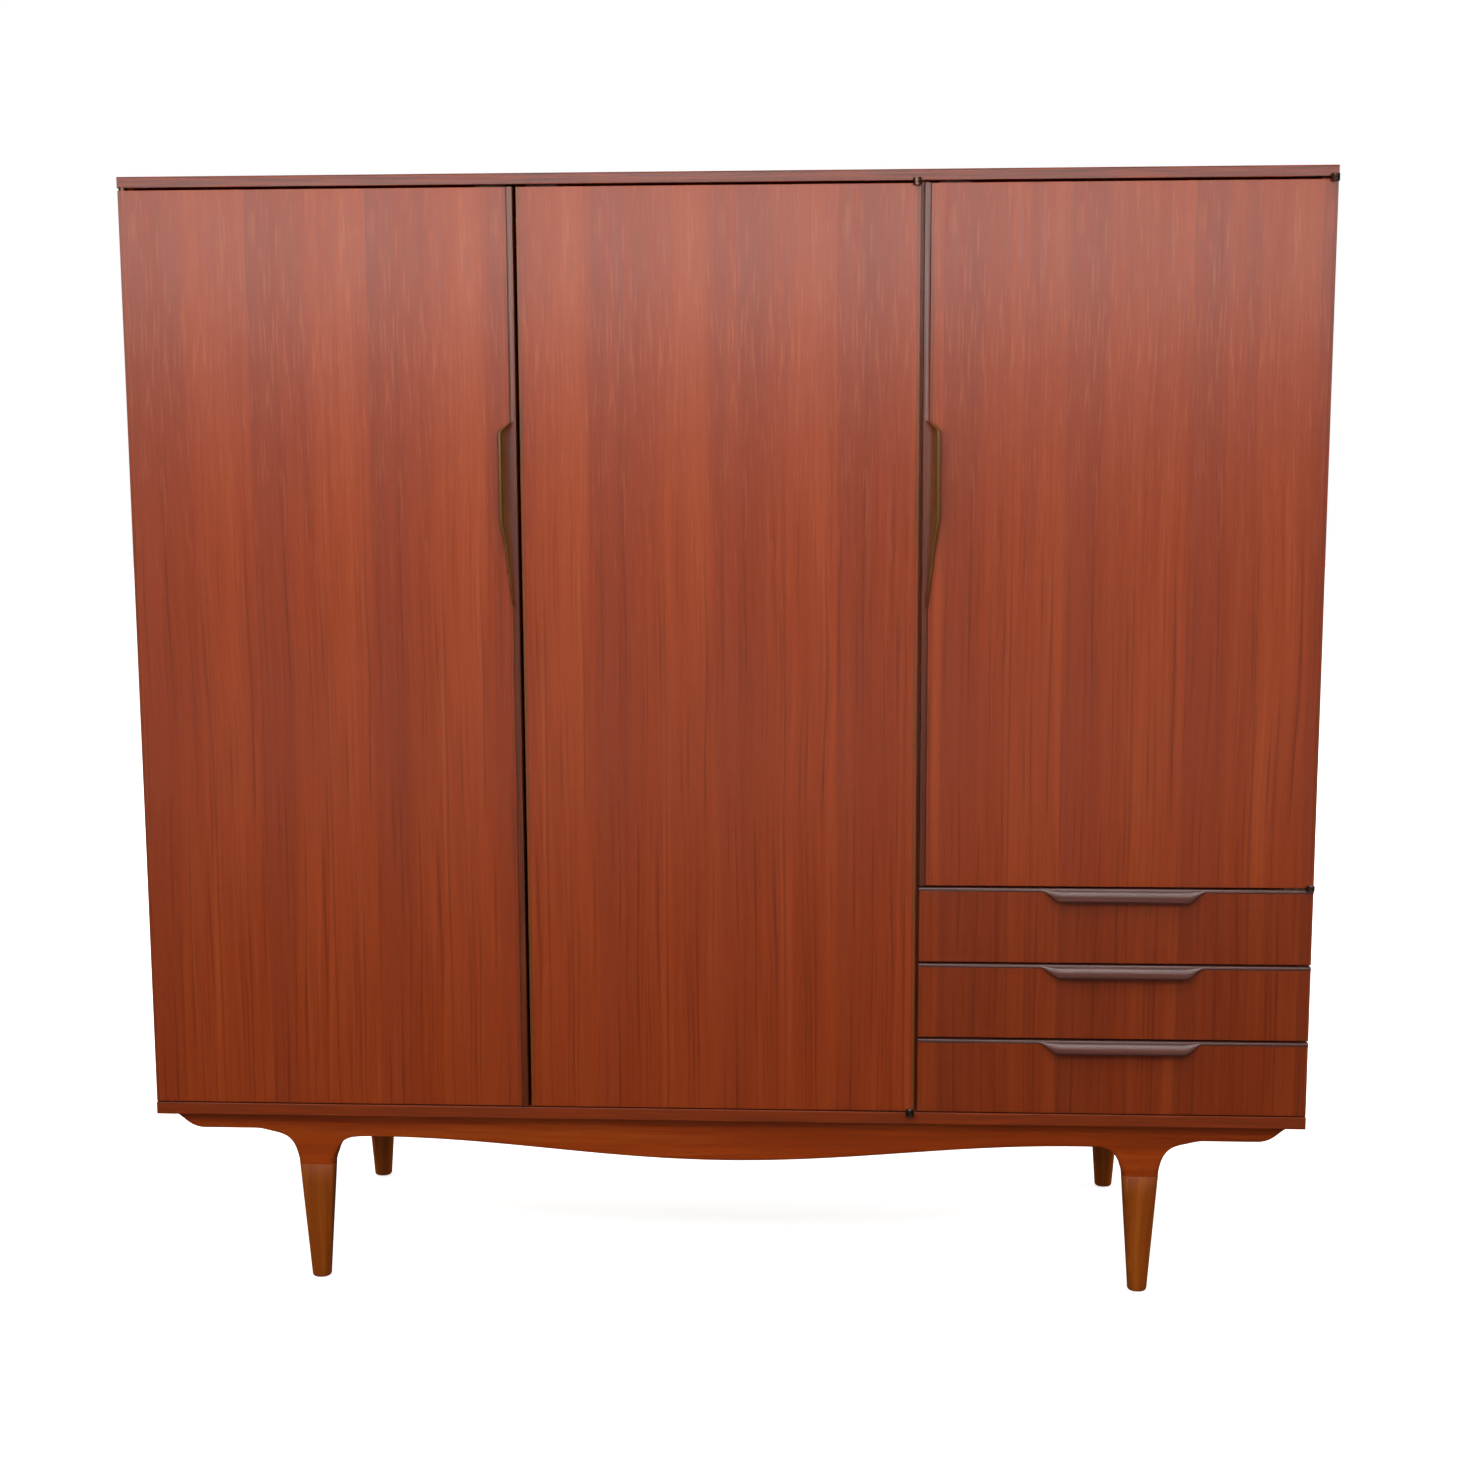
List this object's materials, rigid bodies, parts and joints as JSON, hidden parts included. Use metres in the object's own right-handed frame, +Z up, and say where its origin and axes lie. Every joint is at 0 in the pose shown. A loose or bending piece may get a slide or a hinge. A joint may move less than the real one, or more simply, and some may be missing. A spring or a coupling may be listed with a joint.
{
  "type": "wardrobe with doors",
  "caption": "Wide teak wardrobe with hinged doors, a bank of drawers with scooped pulls, a hanging rail and shelves, on a low frame with a bowed apron and tapered legs.",
  "frame": {"origin": "on the floor, under the middle of the whole object's box, pulls included", "axes": "+X to the right as seen from the front, +Y from the doors to the back, +Z up"},
  "size_m": [1.75, 0.58, 1.681],
  "materials": {
    "teak_veneer": "satin lacquered teak veneer",
    "solid_teak": "satin lacquered solid teak",
    "dark_teak": "dark stained hardwood, satin",
    "plywood": "bare plywood",
    "beech": "thinly lacquered beech",
    "brass": "aged brass",
    "steel": "zinc plated steel",
    "brown_plastic": "moulded plastic"
  },
  "bodies": {
    "carcass": {"adjustable_shelves": "teak_veneer", "back_left_leg": "solid_teak", "back_panel_screws": "steel", "back_rail": "solid_teak", "back_right_leg": "solid_teak", "base_screws": "steel", "bottom_panel": "teak_veneer", "centre_divider": "teak_veneer", "cross_rails": "solid_teak", "drawer_bay_top": "teak_veneer", "drawer_runners": "beech", "end_rails": "solid_teak", "fitting_screws": "steel", "front_apron": "solid_teak", "front_left_leg": "solid_teak", "front_right_leg": "solid_teak", "hanging_rail": "beech", "hanging_rail_sockets": "beech", "hinge_frame_leaves": "brass", "hinge_frame_screws": "steel", "hinge_pins": "steel", "left_back_panel": "plywood", "left_side_panel": "teak_veneer", "leg_dowels": "beech", "magnetic_catches": "brown_plastic", "right_back_panel": "plywood", "right_side_panel": "teak_veneer", "runner_screws": "steel", "shelf_pins": "brass", "top_panel": "teak_veneer"},
    "left_door": {"left_door_handle_strip": "dark_teak", "left_door_hinge_leaves": "brass", "left_door_panel": "teak_veneer", "left_door_screws": "steel", "left_door_strike_plate": "steel"},
    "centre_door": {"centre_door_hinge_leaves": "brass", "centre_door_panel": "teak_veneer", "centre_door_screws": "steel", "centre_door_strike_plate": "steel"},
    "right_door": {"right_door_handle_strip": "dark_teak", "right_door_hinge_leaves": "brass", "right_door_panel": "teak_veneer", "right_door_screws": "steel", "right_door_strike_plate": "steel"},
    "lower_drawer": {"lower_drawer_back": "beech", "lower_drawer_bottom": "plywood", "lower_drawer_front": "teak_veneer", "lower_drawer_handle_strip": "dark_teak", "lower_drawer_sides": "beech"},
    "middle_drawer": {"middle_drawer_back": "beech", "middle_drawer_bottom": "plywood", "middle_drawer_front": "teak_veneer", "middle_drawer_handle_strip": "dark_teak", "middle_drawer_sides": "beech"},
    "upper_drawer": {"upper_drawer_back": "beech", "upper_drawer_bottom": "plywood", "upper_drawer_front": "teak_veneer", "upper_drawer_handle_strip": "dark_teak", "upper_drawer_sides": "beech"}
  },
  "joints": [
    {"name": "left_door_hinge", "type": "hinge", "parent": "carcass", "child": "left_door", "pos_m": [-0.8684, -0.2636, 0.98], "axis": [0, 0, -1], "range_deg": [0, 110]},
    {"name": "centre_door_hinge", "type": "hinge", "parent": "carcass", "child": "centre_door", "pos_m": [0.28307, -0.2766, 0.98], "axis": [0, 0, 1], "range_deg": [0, 90]},
    {"name": "right_door_hinge", "type": "hinge", "parent": "carcass", "child": "right_door", "pos_m": [0.8684, -0.2766, 1.15], "axis": [0, 0, 1], "range_deg": [0, 110]},
    {"name": "lower_drawer_slide", "type": "slide", "parent": "carcass", "child": "lower_drawer", "axis": [0, -1, 0], "range_m": [0, 0.38]},
    {"name": "middle_drawer_slide", "type": "slide", "parent": "carcass", "child": "middle_drawer", "axis": [0, -1, 0], "range_m": [0, 0.38]},
    {"name": "upper_drawer_slide", "type": "slide", "parent": "carcass", "child": "upper_drawer", "axis": [0, -1, 0], "range_m": [0, 0.38]}
  ]
}
